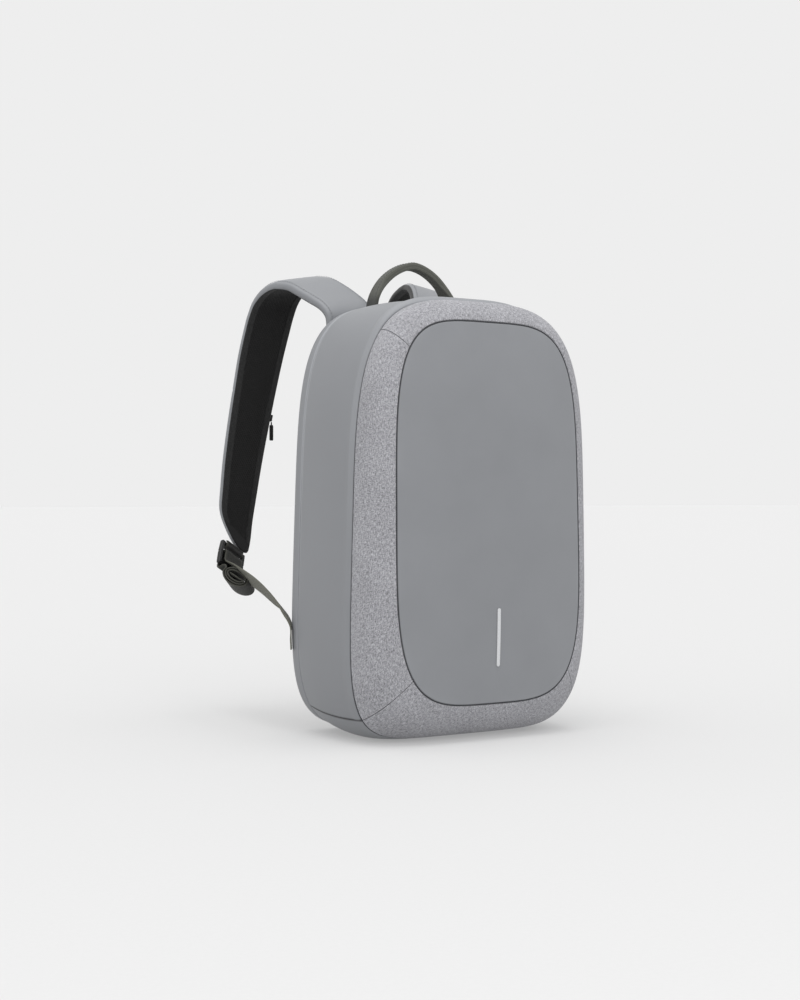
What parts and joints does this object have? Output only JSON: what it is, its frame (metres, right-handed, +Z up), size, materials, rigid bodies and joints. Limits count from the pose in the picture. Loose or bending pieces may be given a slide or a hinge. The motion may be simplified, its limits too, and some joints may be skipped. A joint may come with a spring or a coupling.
{
  "type": "anti theft backpack",
  "caption": "Slim hard-fronted commuter backpack with domed front panel, woven border, curved padded shoulder straps and a webbing top handle, standing on its base.",
  "frame": {"origin": "on the floor under the base, on the body's middle plane, below the middle of the body's depth", "axes": "+Z up along the body's height, -Y out of the front panel, +X to the right of someone who looks at the front"},
  "size_m": [0.255, 0.3312, 0.4429],
  "materials": {
    "coated_fabric": "satin coated weave",
    "heather_fabric": "matt melange weave",
    "seam_trim": "matt piping and zip tape",
    "mesh_fabric": "matt spacer mesh",
    "handle_webbing": "matt ribbed webbing",
    "strap_webbing": "matt ribbed webbing",
    "buckle_plastic": "moulded black acetal",
    "reflective_tape": "satin retroreflective tape"
  },
  "bodies": {
    "root": {"front_panel": "coated_fabric", "reflective_strip": "reflective_tape", "panel_piping": "seam_trim", "border_top": "heather_fabric", "border_left": "heather_fabric", "border_bottom": "heather_fabric", "border_right": "heather_fabric", "border_piping": "seam_trim", "side_gusset": "coated_fabric", "base_panel": "coated_fabric", "back_rim": "coated_fabric", "back_panel": "coated_fabric", "back_zip": "seam_trim", "back_pad": "mesh_fabric", "top_handle": "handle_webbing", "strap_cover_left": "coated_fabric", "strap_cover_right": "coated_fabric", "strap_pad_left": "mesh_fabric", "strap_pad_right": "mesh_fabric", "buckle_left": "buckle_plastic", "buckle_right": "buckle_plastic", "buckle_tab_left": "strap_webbing", "buckle_tab_right": "strap_webbing", "webbing_left": "strap_webbing", "webbing_right": "strap_webbing", "strap_zip_slider": "buckle_plastic", "strap_zip_pull": "buckle_plastic"}
  },
  "joints": []
}
